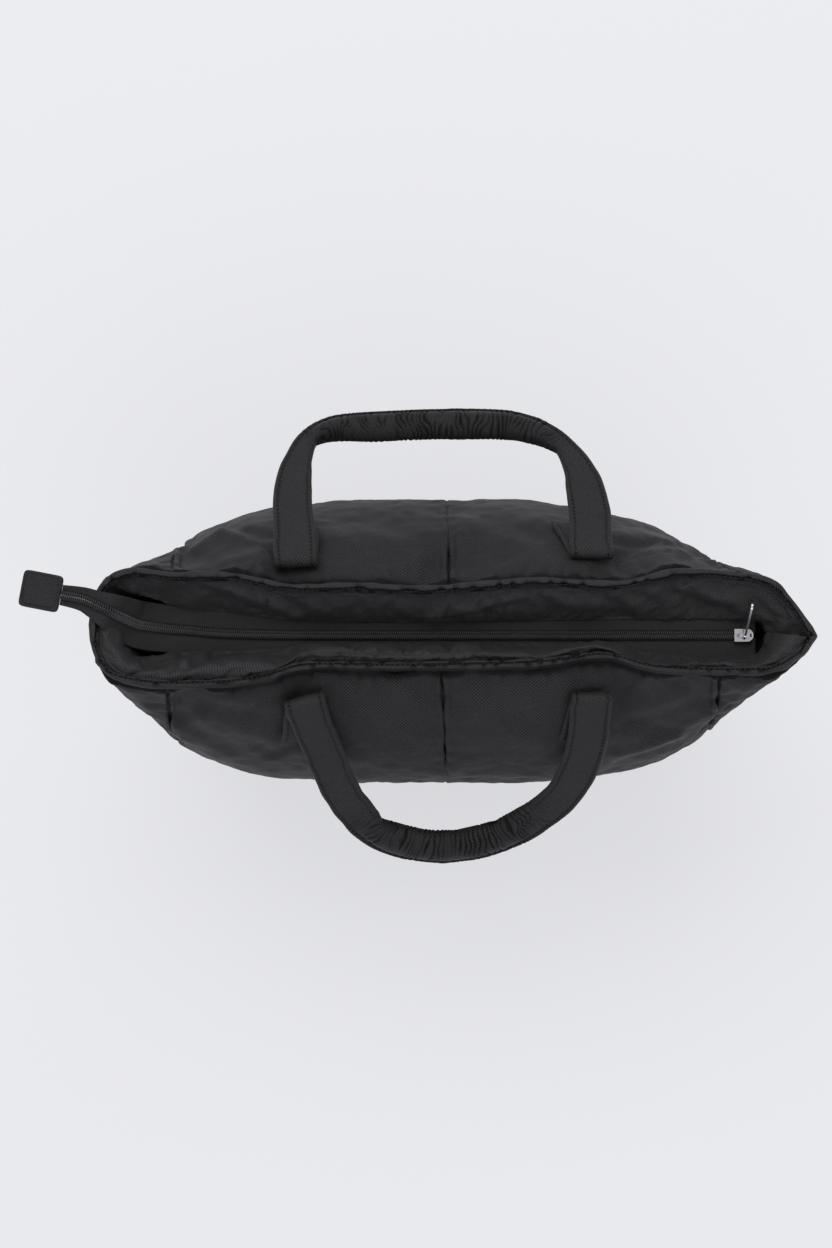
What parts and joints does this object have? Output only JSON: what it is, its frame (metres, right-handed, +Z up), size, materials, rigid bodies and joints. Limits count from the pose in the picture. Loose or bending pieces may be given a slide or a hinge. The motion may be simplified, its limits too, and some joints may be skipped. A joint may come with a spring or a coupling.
{
  "type": "puffer tote bag",
  "caption": "Padded, quilted open-top tote bag with a zip between inner facings, a zip tab and folded-over handles",
  "frame": {"origin": "middle of the base's flat underside, on the floor", "axes": "+X along the mouth to the end where the slider rests, +Y to the back panel, +Z up"},
  "size_m": [0.5267, 0.3195, 0.3127],
  "materials": {
    "shell_nylon": "black micro-weave nylon with a faint sheen, padded and quilted",
    "hem_nylon": "black nylon, folded and topstitched",
    "facing_nylon": "thin black nylon, slightly crumpled",
    "strap_nylon": "black nylon, flat and edge-stitched at the legs, gathered over a filled core at the grip",
    "zip_tape": "black woven herringbone tape",
    "zip_coil": "black polyester coil",
    "steel": "bright nickel-plated metal"
  },
  "bodies": {
    "bag": {"front_panel": "shell_nylon", "back_panel": "shell_nylon", "base_panel": "shell_nylon", "rim_hem": "hem_nylon", "facing_front": "facing_nylon", "facing_back": "facing_nylon", "zip_tape_front": "zip_tape", "zip_tape_back": "zip_tape", "zip_chain": "zip_coil", "zip_end_tab": "hem_nylon", "slider_body": "steel", "front_handle": "strap_nylon", "back_handle": "strap_nylon"},
    "pull": {"slider_pull": "steel"}
  },
  "joints": [
    {"name": "pull_swing", "type": "hinge", "parent": "bag", "child": "pull", "pos_m": [0.19813, 0.00296, 0.2835], "axis": [0.9903, -0.1392, 0], "range_deg": [0, 88]}
  ]
}
